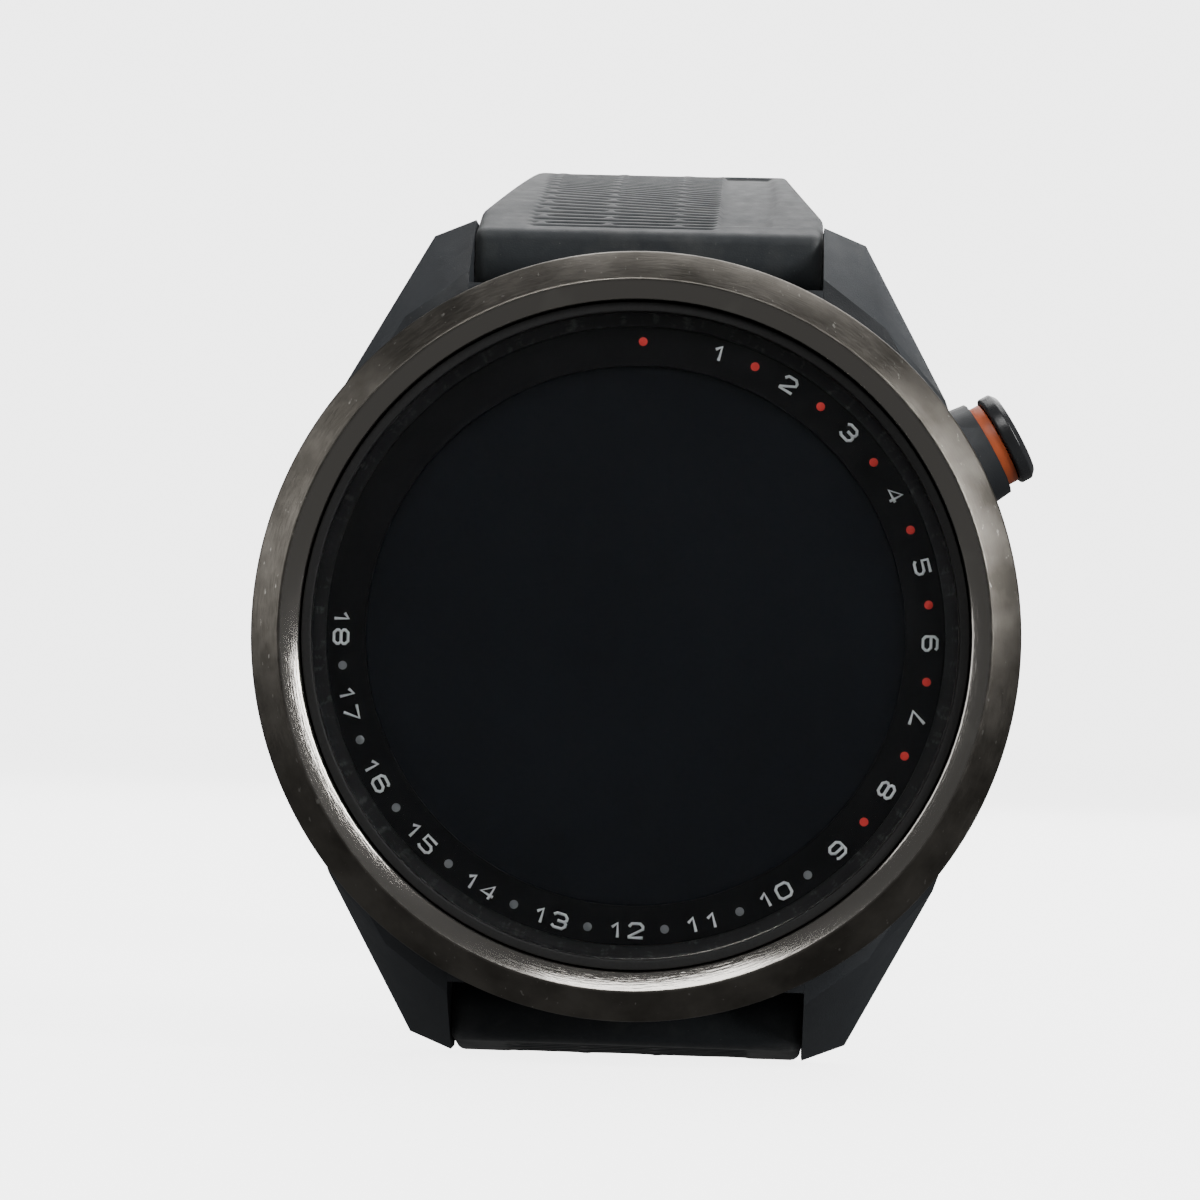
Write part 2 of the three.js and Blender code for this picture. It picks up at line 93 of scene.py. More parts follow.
# The strap's own shape, as in the frame's model
STRAP_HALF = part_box("upper_strap")[1].x + 0.11 * MM  # closes most of the gap beside the lugs
STRAP_HALF_NARROW = 8.1 * MM
STRAP_THICK = 3.0 * MM
STRAP_THIN = 2.3 * MM
TAPER_LENGTH = 18 * MM
FRAME_NOSE_RADIUS = 1.7 * MM
NOSE_RADIUS = 1.95 * MM  # a little over the frame's, so less shows through beside the case
CREASE = 23.4 * MM
STRAP_START = -1 * MM
NOSE_FRONT = BAR_Y - NOSE_RADIUS
FRAME_NOSE_FRONT = BAR_Y - FRAME_NOSE_RADIUS
APEX_Y = 29 * MM
APEX_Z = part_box("upper_strap")[1].z
HOOK_RADIUS = BUCKLE_Y + STRAP_THIN / 2 - APEX_Y
FLAT_END = 44 * MM
CURL_RADIUS = 42 * MM
LOWER_LENGTH = 111 * MM

# ---------------------------------------------------------------- materials


class Nodes:
    """A material under construction: short names for the nodes that these materials share."""

    def __init__(self, name, rough=0.5, metal=0.0, base=(0.5, 0.5, 0.5)):
        self.material = bpy.data.materials.new(name)
        self.material.use_nodes = True
        self.tree = self.material.node_tree
        self.shader = self.tree.nodes["Principled BSDF"]
        self.set("Base Color", (*base, 1))
        self.set("Roughness", rough)
        self.set("Metallic", metal)
        self.material.diffuse_color = (*base, 1)

    def set(self, socket, value):
        self.shader.inputs[socket].default_value = value

    def node(self, kind, **values):
        made = self.tree.nodes.new(kind)
        for key, value in values.items():
            if key in made.inputs:
                made.inputs[key].default_value = value
            else:
                setattr(made, key, value)
        return made

    def link(self, output, target):
        self.tree.links.new(output, target)

    def place(self, scale=(1, 1, 1)):
        """Object coordinates in millimetres, stretched by scale."""
        coordinates = self.node("ShaderNodeTexCoord")
        mapping = self.node("ShaderNodeMapping")
        mapping.inputs["Scale"].default_value = [1000 * s for s in scale]
        self.link(coordinates.outputs["Object"], mapping.inputs["Vector"])
        return mapping.outputs["Vector"]

    def noise(self, scale, detail=4.0, stretch=(1, 1, 1)):
        """Noise whose features are about 1 / scale millimetres across."""
        made = self.node("ShaderNodeTexNoise", Scale=scale, Detail=detail)
        self.link(self.place(stretch), made.inputs["Vector"])
        return made.outputs["Fac"]

    def radius_share(self):
        """How far from the Y axis a point lies, as a share of the bezel's radius."""
        coordinates = self.node("ShaderNodeTexCoord")
        flat = self.node("ShaderNodeMapping")
        flat.inputs["Scale"].default_value = (1 / BEZEL_RADIUS, 0, 1 / BEZEL_RADIUS)
        self.link(coordinates.outputs["Object"], flat.inputs["Vector"])
        made = self.node("ShaderNodeVectorMath", operation="LENGTH")
        self.link(flat.outputs["Vector"], made.inputs[0])
        return made.outputs["Value"]

    def ramp(self, factor, stops):
        """A colour or grey ramp. stops are (position, colour) pairs."""
        made = self.node("ShaderNodeValToRGB")
        points = made.color_ramp.elements
        while len(points) < len(stops):
            points.new(0.5)
        for point, (position, colour) in zip(points, stops):
            point.position = position
            point.color = (*colour, 1) if isinstance(colour, tuple) else (colour, colour, colour, 1)
        self.link(factor, made.inputs["Fac"])
        return made.outputs["Color"]

    def mix(self, factor, first, second):
        """first where factor is 0 and second where it is 1. Each is a colour or an output."""
        made = self.node("ShaderNodeMix", data_type="RGBA")
        for index, value in ((0, factor), (6, first), (7, second)):
            if isinstance(value, bpy.types.NodeSocket):
                self.link(value, made.inputs[index])
            else:
                made.inputs[index].default_value = value
        return made.outputs[2]

    def bump(self, height, depth, strength=1.0, under=None):
        made = self.node("ShaderNodeBump", Strength=strength, Distance=depth * MM)
        self.link(height, made.inputs["Height"])
        if under:
            self.link(under, made.inputs["Normal"])
        return made.outputs["Normal"]

    def to(self, socket, output):
        self.link(output, self.shader.inputs[socket])


def worn(shader, colour, bright, amount=0.55):
    """colour, brightened along the convex edges: rubbed wear on the metal and mouldings, painted sheen on the
    strap's groove crests.
    """
    geometry = shader.node("ShaderNodeNewGeometry")
    edge = shader.ramp(geometry.outputs["Pointiness"], ((0.52, 0.0), (0.60, amount)))
    return shader.mix(edge, colour, bright)


def gunmetal(name="gunmetal", polished=False):
    """Brushed coating with grain, clouds and small scuffs. The bezel's inner bevel can be polished."""
    m = Nodes(name, metal=1.0, base=(0.2, 0.185, 0.165))
    cloud = m.ramp(m.noise(0.3, 8), ((0.36, (0.10, 0.092, 0.080)), (0.64, (0.205, 0.19, 0.168))))
    scuff = m.ramp(m.noise(3.4, 9, (1, 1, 0.4)), ((0.67, 0.0), (0.73, 0.7)))
    colour = m.mix(scuff, cloud, (0.5, 0.48, 0.44, 1))
    grain = m.noise(5.0, 3, (0.25, 4, 0.25))
    rough = m.ramp(grain, ((0.3, 0.29), (0.7, 0.46)))
    if polished:
        bevel = m.ramp(m.radius_share(), ((RIDGE_SHARE - 0.006, 1.0), (RIDGE_SHARE, 0.0)))
        colour = m.mix(bevel, colour, (0.42, 0.40, 0.37, 1))
        rough = m.mix(bevel, rough, (0.13, 0.13, 0.13, 1))
    m.to("Base Color", worn(m, colour, (0.5, 0.48, 0.44, 1)))
    m.to("Roughness", rough)
    m.to("Normal", m.bump(grain, 0.012, 0.6))
    m.set("Anisotropic", 0.4)
    return m.material


def moulded(name, base, rough, speckle=14.0, lift=1.7, depth=0.02):
    """A fine-textured moulding: tone that drifts, edges rubbed paler and a little dust."""
    m = Nodes(name, rough, base=base)
    pale = tuple(min(1, c * lift) for c in base)
    drift = m.ramp(m.noise(0.22, 5), ((0.3, base), (0.7, pale)))
    dust = m.ramp(m.noise(3.1, 9), ((0.69, 0.0), (0.74, 0.5)))
    colour = m.mix(dust, drift, (0.16, 0.16, 0.15, 1))
    m.to("Base Color", worn(m, colour, (*(min(1, c * 3.2) for c in base), 1), 0.5))
    m.to("Roughness", m.ramp(m.noise(0.8, 4), ((0.3, rough - 0.08), (0.7, rough + 0.08))))
    m.to("Normal", m.bump(m.noise(speckle, 3), depth, 0.8))
    return m.material


def strap_rubber():
    """Matte silicone with a dusty bloom where it has been handled, painted sheen on its groove crests and painted
    shade in its groove hollows.
    """
    m = Nodes("strap_rubber", 0.62, base=(0.014, 0.019, 0.024))
    drift = m.ramp(m.noise(0.12, 5), ((0.35, (0.011, 0.015, 0.019)), (0.65, (0.019, 0.024, 0.028))))
    bloom = m.ramp(m.noise(0.5, 9), ((0.5, 0.0), (0.8, 0.35)))
    dusty = m.mix(bloom, drift, (0.085, 0.086, 0.08, 1))
    speck = m.ramp(m.noise(4.5, 6), ((0.72, 0.0), (0.76, 0.5)))
    colour = m.mix(speck, dusty, (0.2, 0.2, 0.18, 1))
    geometry = m.node("ShaderNodeNewGeometry")
    # painted shade: the groove hollows are darkened towards near black, as shade falls in them
    groove_painted_shade = m.ramp(geometry.outputs["Pointiness"], ((0.44, 0.85), (0.5, 0.0)))
    # painted sheen: the groove crests and convex edges are lightened, as a grazing sheen lights them
    crest_painted_sheen = worn(m, colour, (0.12, 0.122, 0.115, 1), 0.7)
    m.to("Base Color", m.mix(groove_painted_shade, crest_painted_sheen, (0.006, 0.008, 0.010, 1)))
    m.to("Roughness", m.ramp(m.noise(1.2, 5), ((0.3, 0.52), (0.7, 0.72))))
    m.to("Normal", m.bump(m.noise(9.0, 3), 0.02, 0.6))
    m.set("Sheen Weight", 0.25)
    m.set("Sheen Roughness", 0.5)
    return m.material


def plain(name, base, rough, metal=0.0, grain=6.0):
    """A clean piece with slight drift in tone and a fine grain."""
    m = Nodes(name, rough, metal, base)
    dark = tuple(c * 0.8 for c in base)
    m.to("Base Color", m.ramp(m.noise(0.5, 4), ((0.3, dark), (0.7, base))))
    m.to("Roughness", m.ramp(m.noise(grain, 3), ((0.3, max(0.02, rough - 0.05)), (0.7, rough + 0.05))))
    m.to("Normal", m.bump(m.noise(grain * 2, 3), 0.006, 0.5))
    return m.material


def smooth_dark(name, base, rough):
    """A clean dark face under glass, with a slow drift in tone and no grain."""
    m = Nodes(name, rough, base=base)
    m.to("Base Color", m.ramp(m.noise(0.05, 3), ((0.3, tuple(c * 0.8 for c in base)), (0.7, base))))
    m.set("Specular IOR Level", 0.2)
    return m.material


def lens_glass():
    """Clear glass with faint smears."""
    m = Nodes("lens_glass", 0.03, base=(1, 1, 1))
    m.set("Transmission Weight", 1.0)
    m.set("IOR", 1.2)  # low, as if coated, so that it mirrors little
    m.to("Roughness", m.ramp(m.noise(0.12, 6), ((0.5, 0.01), (0.75, 0.03))))
    return m.material


def edge_print():
    """The lens's black border, with the dust that gathers at its rim."""
    m = Nodes("edge_print", 0.5, base=(0.004, 0.005, 0.006))
    dust = m.ramp(m.noise(2.4, 10), ((0.56, 0.0), (0.72, 0.55)))
    m.to("Base Color", m.mix(dust, (0.004, 0.005, 0.006, 1), (0.09, 0.095, 0.095, 1)))
    m.to("Normal", m.bump(dust, 0.02, 0.6))
    return m.material


def board_green():
    """Solder mask over faint tracks."""
    m = Nodes("board_green", 0.35, base=(0.02, 0.1, 0.04))
    tracks = m.node("ShaderNodeTexWave", Scale=1.1, Distortion=6.0)
    m.link(m.place(), tracks.inputs["Vector"])
    stops = ((0.45, (0.012, 0.07, 0.028)), (0.55, (0.03, 0.14, 0.06)))
    m.to("Base Color", m.ramp(tracks.outputs["Fac"], stops))
    return m.material


MATERIALS = {
    "gunmetal": gunmetal(),
    "bezel_metal": gunmetal("bezel_metal", polished=True),
    "case_polymer": moulded("case_polymer", (0.018, 0.020, 0.0225), 0.5),
    "strap_rubber": strap_rubber(),
    "lens_glass": lens_glass(),
    "edge_print": edge_print(),
    "seal_rubber": plain("seal_rubber", (0.012, 0.012, 0.012), 0.7),
    "dial_black": smooth_dark("dial_black", (0.0025, 0.0032, 0.0045), 0.5),
    "display": smooth_dark("display", (0.006, 0.0088, 0.0135), 0.4),
    "digit_white": plain("digit_white", (0.82, 0.88, 0.89), 0.55, grain=20),
    "dot_red": plain("dot_red", (0.85, 0.04, 0.035), 0.5, grain=20),
    "foil": plain("foil", (0.55, 0.56, 0.57), 0.35, 1.0),
    "flex_amber": plain("flex_amber", (0.4, 0.16, 0.03), 0.4),
    "inner_plastic": plain("inner_plastic", (0.02, 0.02, 0.02), 0.5),
    "board_green": board_green(),
    "antenna_ceramic": plain("antenna_ceramic", (0.6, 0.52, 0.4), 0.7),
    "steel": plain("steel", (0.5, 0.5, 0.49), 0.28, 1.0),
    "gold": plain("gold", (0.8, 0.55, 0.2), 0.25, 1.0),
    "button_black": moulded("button_black", (0.022, 0.023, 0.025), 0.26, speckle=6, depth=0.006),
    "dot_grey": plain("dot_grey", (0.22, 0.24, 0.25), 0.5, grain=20),
    "accent_orange": plain("accent_orange", (0.78, 0.16, 0.055), 0.4, grain=10),
}

# ---------------------------------------------------------------- mesh helpers


def new_mesh(name, points, faces, weld=True):
    mesh = bpy.data.meshes.new(name)
    work = bmesh.new()
    corners = [work.verts.new(p) for p in points]
    for face in faces:
        work.faces.new([corners[n] for n in face])
    if weld:
        bmesh.ops.remove_doubles(work, verts=work.verts, dist=1e-7)
        bmesh.ops.dissolve_degenerate(work, edges=work.edges, dist=1e-8)
    bmesh.ops.recalc_face_normals(work, faces=work.faces)
    work.to_mesh(mesh)
    work.free()
    return mesh


def soften(mesh, degrees=35):
    """Smooth shading, with the edges sharper than that left crisp."""
    mesh.shade_smooth()
    mesh.set_sharp_from_angle(angle=math.radians(degrees))


def add(name, mesh, body, slot, *nodes, material=None):
    """A piece that rides on body and takes its finish from material, or from slot when no material is given. The
    nodes it stands in for are hidden.
    """
    made = bpy.data.objects.new(name, mesh)
    bpy.context.scene.collection.objects.link(made)
    mesh.materials.append(MATERIALS[material or slot])
    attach(made, body)
    if nodes:
        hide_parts(*nodes)
    return made


def fillet(outline, radius, steps=4):
    """A closed outline with its corners rounded."""
    rounded = []
    for n, corner in enumerate(outline):
        here = Vector(corner)
        before = Vector(outline[n - 1]) - here
        after = Vector(outline[(n + 1) % len(outline)]) - here
        a = here + before.normalized() * min(radius, before.length * 0.45)
        b = here + after.normalized() * min(radius, after.length * 0.45)
        for k in range(steps + 1):
            t = k / steps
            rounded.append(a * (1 - t) ** 2 + here * 2 * t * (1 - t) + b * t * t)
    return rounded


def turned(name, outline, sides=FINE, place=Matrix.Identity(4)):
    """A closed [radius, depth] outline revolved about the Y axis."""
    points = []
    for k in range(sides):
        angle = 2 * math.pi * k / sides
        points += [place @ Vector((r * math.cos(angle), -d, r * math.sin(angle))) for r, d in outline]
    count = len(outline)
    faces = []
    for k in range(sides):
        row, after = k * count, (k + 1) % sides * count
        for n in range(count):
            m = (n + 1) % count
            faces.append((row + n, row + m, after + m, after + n))
    mesh = new_mesh(name, points, faces)
    soften(mesh)
    return mesh


def swept(name, rings):
    """A closed skin over rings of points, capped at both ends."""
    count = len(rings[0])
    points = [p for ring in rings for p in ring]
    faces = [tuple(range(count)), tuple(len(points) - count + n for n in range(count))]
    for k in range(len(rings) - 1):
        for n in range(count):
            m = (n + 1) % count
            row, after = k * count, (k + 1) * count
            faces.append((row + n, row + m, after + m, after + n))
    return new_mesh(name, points, faces, weld=False)


def combine(made, operation, meshes):
    """Joins closed meshes to a piece (UNION) or cuts them out of it (DIFFERENCE)."""
    for mesh in meshes:
        tool = bpy.data.objects.new("combined_shape", mesh)
        bpy.context.scene.collection.objects.link(tool)
        boolean = made.modifiers.new("combine", "BOOLEAN")
        boolean.operation = operation
        boolean.solver = "MANIFOLD"
        boolean.object = tool
        bpy.context.view_layer.update()
        evaluated = made.evaluated_get(bpy.context.evaluated_depsgraph_get())
        result = bpy.data.meshes.new_from_object(evaluated)
        made.modifiers.clear()
        made.data = result
        bpy.data.objects.remove(tool)


def refined(node, body, slot, bevel):
    """The node's own shape with its edges rounded by bevel millimetres."""
    mesh = frame["nodes"][node].data.copy()
    mesh.materials.clear()
    work = bmesh.new()
    work.from_mesh(mesh)
    bmesh.ops.remove_doubles(work, verts=work.verts, dist=2e-6)
    bmesh.ops.dissolve_limit(work, angle_limit=math.radians(1), verts=work.verts, edges=work.edges)
    work.to_mesh(mesh)
    work.free()
    soften(mesh)
    made = add(f"{node}_skin", mesh, body, slot, node)
    rounding = made.modifiers.new("edges", "BEVEL")
    rounding.width = bevel * MM
    rounding.segments = 3
    rounding.limit_method = "ANGLE"
    rounding.angle_limit = math.radians(30)
    rounding.harden_normals = True


# ---------------------------------------------------------------- case


def band(inner, outer, back, front):
    """The outline of a flat ring, from its radii and depths."""
    return [(inner, back), (outer, back), (outer, front), (inner, front)]


def make_bezel():
    """The brushed outer cone, a narrow ridge and the polished inner bevel."""
    outline = [
        (BEZEL_RADIUS, BEZEL_SHOULDER), (BEZEL_RADIUS, BEZEL_EDGE), (RIDGE_RADIUS, BEZEL_TOP),
        (MOUTH_RADIUS, MOUTH_DEPTH), (MOUTH_RADIUS, LEDGE_DEPTH), (LEDGE_RADIUS, LEDGE_DEPTH),
        (LEDGE_RADIUS, BEZEL_BACK), (SKIRT_RADIUS, BEZEL_BACK), (SKIRT_RADIUS, BEZEL_SHOULDER),
    ]
    mesh = turned("bezel_ring", fillet(outline, 0.14 * MM))
    add("bezel_ring", mesh, "case", "gunmetal", "bezel", material="bezel_metal")


def make_lens():
    """The glass with its chamfer, and the gasket, black border and dial ring around and under it."""
    chamfer = 0.3 * MM
    outline = [
        (0, LENS_BACK), (LENS_RADIUS, LENS_BACK), (LENS_RADIUS, LENS_FRONT - chamfer),
        (LENS_RADIUS - chamfer, LENS_FRONT), (0, LENS_FRONT),
    ]
    add("lens_disc", turned("lens_disc", outline), "case", "lens_glass", "lens")
    gap = 0.07 * MM
    gasket = band(LENS_RADIUS + gap, MOUTH_RADIUS - gap, LEDGE_DEPTH + 0.05 * MM, LENS_FRONT - 0.1 * MM)
    mesh = turned("lens_gasket_ring", fillet(gasket, 0.1 * MM))
    add("lens_gasket_ring", mesh, "case", "seal_rubber", "lens_gasket")
    hair = 0.01 * MM
    border = band(LEDGE_RADIUS - 2 * hair, LENS_RADIUS - hair, LEDGE_DEPTH + 2 * hair, LENS_BACK - hair)
    mesh = turned("lens_border", border)
    add("lens_border", mesh, "case", "dial_black", "lens_adhesive", material="edge_print")
    inner = radius_of("display_panel") - 0.65 * MM
    dial = band(inner, LEDGE_RADIUS - 4 * hair, DIAL_BACK, DIAL_FRONT)
    add("dial_face", turned("dial_face", dial), "case", "dial_black", "dial_ring")


# Each digit is a list of strokes on a unit square. A stroke that starts and ends at one point is closed.
GLYPHS = {
    "0": [[(.2, 0), (.8, 0), (1, .2), (1, .8), (.8, 1), (.2, 1), (0, .8), (0, .2), (.2, 0)]],
    "1": [[(.2, .72), (.6, 1), (.6, 0)]],
    "2": [[(0, .78), (.2, 1), (.8, 1), (1, .8), (1, .6), (0, .1), (0, 0), (1, 0)]],
    "3": [
        [(0, .85), (.2, 1), (.8, 1), (1, .8), (1, .62), (.85, .5), (.35, .5)],
        [(.85, .5), (1, .38), (1, .2), (.8, 0), (.2, 0), (0, .15)],
    ],
    "4": [[(.75, 0), (.75, 1), (0, .3), (1, .3)]],
    "5": [[(1, 1), (.05, 1), (.05, .58), (.8, .58), (1, .42), (1, .18), (.8, 0), (.2, 0), (0, .12)]],
    "6": [
        [(.95, .88), (.8, 1), (.2, 1), (0, .8), (0, .2), (.2, 0), (.8, 0), (1, .2), (1, .38), (.8, .56),
         (0, .56)],
    ],
    "7": [[(0, 1), (1, 1), (.35, 0)]],
    "8": [
        [(.2, 0), (.8, 0), (1, .2), (1, .34), (.85, .5), (1, .66), (1, .8), (.8, 1), (.2, 1), (0, .8),
         (0, .66), (.15, .5), (0, .34), (0, .2), (.2, 0)],
        [(.15, .5), (.85, .5)],
    ],
    "9": [
        [(.05, .12), (.2, 0), (.8, 0), (1, .2), (1, .8), (.8, 1), (.2, 1), (0, .8), (0, .62), (.2, .44),
         (1, .44)],
    ],
}
NUMBERS = 18
NUMBER_STEP = 15  # degrees between one number and the next
NUMBER_RADIUS = 16.62 * MM
DIGIT_HIGH = 0.80 * MM
DIGIT_WIDE = 0.78 * MM
DIGIT_PITCH = 1.12 * MM
STROKE = 0.1 * MM
NUMBER_SUNK = 0.045 * MM  # depth of the strokes' middle under the dial's front
LAST_OUTWARD = 6  # numbers up to this one stand with their tops outward
RED_DOTS = 8  # after this many the dots are grey
DOT_RADIUS = 0.25 * MM
DOT_SUNK = 0.05 * MM
DOT_PROUD = 0.02 * MM
BUTTON_ROUND = 0.08 * MM


def dial_point(clock, radius, across=0.0):
    """A point on the dial, at degrees clockwise from 12 o'clock, moved across to the right."""
    angle = math.radians(90 - clock)
    out = Vector((math.cos(angle), 0, math.sin(angle)))
    right = Vector((out.z, 0, -out.x))
    return out * radius + right * across + Vector((0, -(DIAL_FRONT - NUMBER_SUNK), 0))


def make_numbers():
    """The numbers as one curve of thick strokes, partly sunk in the dial."""
    curve = bpy.data.curves.new("dial_numbers", "CURVE")
    curve.dimensions = "3D"
    curve.bevel_depth = STROKE
    curve.bevel_resolution = 3
    curve.use_fill_caps = True
    for number in range(1, NUMBERS + 1):
        text = str(number)
        up = 1 if number <= LAST_OUTWARD else -1
        for place, digit in enumerate(text):
            middle = (place - (len(text) - 1) / 2) * DIGIT_PITCH
            for stroke in GLYPHS[digit]:
                closed = stroke[0] == stroke[-1]
                dots = stroke[:-1] if closed else stroke
                line = curve.splines.new("POLY")
                line.points.add(len(dots) - 1)
                line.use_cyclic_u = closed
                for point, (x, y) in zip(line.points, dots):
                    across = up * (middle + (x - 0.5) * DIGIT_WIDE)
                    radius = NUMBER_RADIUS + up * (y - 0.5) * DIGIT_HIGH
                    point.co = (*dial_point(number * NUMBER_STEP, radius, across), 1)
    made = bpy.data.objects.new("dial_numbers", curve)
    bpy.context.scene.collection.objects.link(made)
    curve.materials.append(MATERIALS["digit_white"])
    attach(made, "case")


def make_dots():
    """Dots midway between the numbers, red and then grey, and one red dot at 12 o'clock."""
    outline = [
        (0, -DOT_SUNK), (DOT_RADIUS, -DOT_SUNK), (DOT_RADIUS, 0), (DOT_RADIUS * 0.8, DOT_PROUD),
        (0, DOT_PROUD),
    ]
    clocks = [NUMBER_STEP * (n + 0.5) for n in range(1, NUMBERS)]
    clocks.append(0)
    for n, clock in enumerate(clocks):
        red = n < RED_DOTS or clock == 0
        middle = dial_point(clock, NUMBER_RADIUS)
        middle.y = -DIAL_FRONT
        mesh = turned("dial_dot", outline, 24, Matrix.Translation(middle))
        add(f"dial_dot_{n}", mesh, "case", "dial_black", material="dot_red" if red else "dot_grey")


def button_place():
    """Turns a piece made about the Y axis so that its depth runs outward along the button's axis."""
    stem_low, stem_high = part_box("button_stem")
    axis = Vector(next(j for j in frame["joints"] if j["name"] == "button_press")["axis"])
    turn = Vector((0, -1, 0)).rotation_difference(-axis).to_matrix().to_4x4()
    return Matrix.Translation((0, (stem_low.y + stem_high.y) / 2, 0)) @ turn


def make_button():
    """The domed cap with its rim, and the orange ring. Depths are distances from the watch's axis."""
    place = button_place()
    cap = [
        (0, 24.2), (2.35, 24.2), (2.35, 23.65), (2.62, 23.65), (2.7, 23.75), (2.7, 24.35), (2.35, 24.66),
        (1.3, 24.75), (0, 24.78),
    ]
    cap = fillet([(r * MM, d * MM) for r, d in cap], BUTTON_ROUND)
    mesh = turned("button_cap_dome", cap, FINE // 2, place)
    add("button_cap_dome", mesh, "button", "button_black", "button_cap")
    ring = fillet(band(1.05 * MM, 2.45 * MM, 22.9 * MM, 23.6 * MM), BUTTON_ROUND)
    mesh = turned("button_ring", ring, FINE // 2, place)
    add("button_ring", mesh, "button", "accent_orange", "button_accent_ring")


make_bezel()
make_lens()
make_numbers()
make_dots()
make_button()
refined("case_body", "case", "case_polymer", bevel=0.22)
refined("back_cover", "case", "case_polymer", bevel=0.12)
refined("charge_port", "case", "inner_plastic", bevel=0.1)

# ---------------------------------------------------------------- straps

GROOVE_PITCH = 0.7 * MM
GROOVE_DEPTH = 0.17 * MM
GROOVE_SINK = 0.04 * MM  # how far the ridges between the grooves lie below the plain margins
GROOVE_SLOPE = 0.3  # how far a groove runs along the strap for each unit across it
SLOPE_FADE = 11 * MM  # how far from either end the grooves reach their full slope
PLAIN_MARGIN = 1.2 * MM  # the least ungrooved width at the strap's sides
GROOVED_HALF = 6.9 * MM
DASHES = (-6.4 * MM, -2.4 * MM, 1.6 * MM)  # where the three lines of dashes run
DASH_HALF = 0.25 * MM
FACE_HALF = 7.28 * MM  # the fine points across the face keep to this, however wide the strap is
PLAQUE = (4.05 * MM, 7.0 * MM)  # its two sides, across the strap
PLAQUE_START = -2.6 * MM
PLAQUE_LENGTH = 22 * MM  # how far along the strap the grooves keep clear of it
PLAQUE_DEPTH = 0.24 * MM
PLAQUE_SOFT = 0.12 * MM
NOSE_LENGTH = 4.4 * MM  # from the crease to where the even strap begins
BLUNT = 0.55 * MM  # how far the crease's rounding reaches
ROW = GROOVE_PITCH / 6  # spacing of the fine rows along the strap
ACROSS = 56  # steps across the outer face
UNDER = 16  # steps across the inner face
QUARTER = [math.pi / 8 * n for n in range(5)]  # the angles of a round edge's points


def mix(a, b, t):
    return a + (b - a) * t


def between(a, b, t):
    """The point a share t of the way from a to b, both in the Y-Z plane."""
    return (mix(a[0], b[0], t), mix(a[1], b[1], t))


def step(low, high, value):
    """0 up to low and 1 from high, with a smooth rise between."""
    t = min(max((value - low) / (high - low), 0), 1)
    return t * t * (3 - 2 * t)


def taper(length):
    """How far the strap has narrowed at a length, from 0 to 1."""
    return 1 - (1 - min(max(length / TAPER_LENGTH, 0), 1)) ** 2


def inside(low, high, value, soft=0.25 * MM):
    """1 between low and high and 0 outside, with soft edges."""
    return step(low - soft, low + soft, value) * (1 - step(high - soft, high + soft, value))


def relief(x, length, half, plaque):
    """How far the outer face is grooved or sunk, as a negative height."""
    left = min(GROOVED_HALF, half - PLAIN_MARGIN)
    right = PLAQUE[0] - 0.3 * MM if plaque and length < PLAQUE_LENGTH else left
    wave = math.cos(2 * math.pi * length / GROOVE_PITCH)
    beat = math.cos(math.pi * length / GROOVE_PITCH)
    column = max(inside(middle - DASH_HALF, middle + DASH_HALF, x, 0.1 * MM) for middle in DASHES)
    dash = column * step(0.1, 0.6, beat)
    grooved = inside(-left, right, x) * step(-NOSE_LENGTH, -NOSE_LENGTH + 1.2 * MM, length)
    height = -(GROOVE_SINK + GROOVE_DEPTH * max(0, wave)) * grooved * (1 - dash)
    if plaque:
        along = inside(PLAQUE_START, PLAQUE_LENGTH - 1 * MM, length, PLAQUE_SOFT)
        height -= PLAQUE_DEPTH * inside(*PLAQUE, x, PLAQUE_SOFT) * along
    return height


def profile(half, thick, length, plaque):
    """A section's outline as [across, depth]: the outer face, round edges and the inner face."""
    edge = min(0.75 * MM, thick * 0.2)
    under = min(0.5 * MM, thick * 0.15)
    even = min(FACE_HALF, half - edge - 0.05 * MM)
    places = [edge - half] + [mix(-even, even, n / ACROSS) for n in range(ACROSS + 1)] + [half - edge]
    face = [(x, -relief(x, length, half, plaque)) for x in places]
    side = [(half - edge + edge * math.sin(a), edge - edge * math.cos(a)) for a in QUARTER[1:]]
    side += [(half - under + under * math.cos(a), thick - under + under * math.sin(a)) for a in QUARTER]
    back = [(mix(half - under, under - half, n / UNDER), thick) for n in range(1, UNDER)]
    return face + side + back + [(-x, depth) for x, depth in reversed(side)]


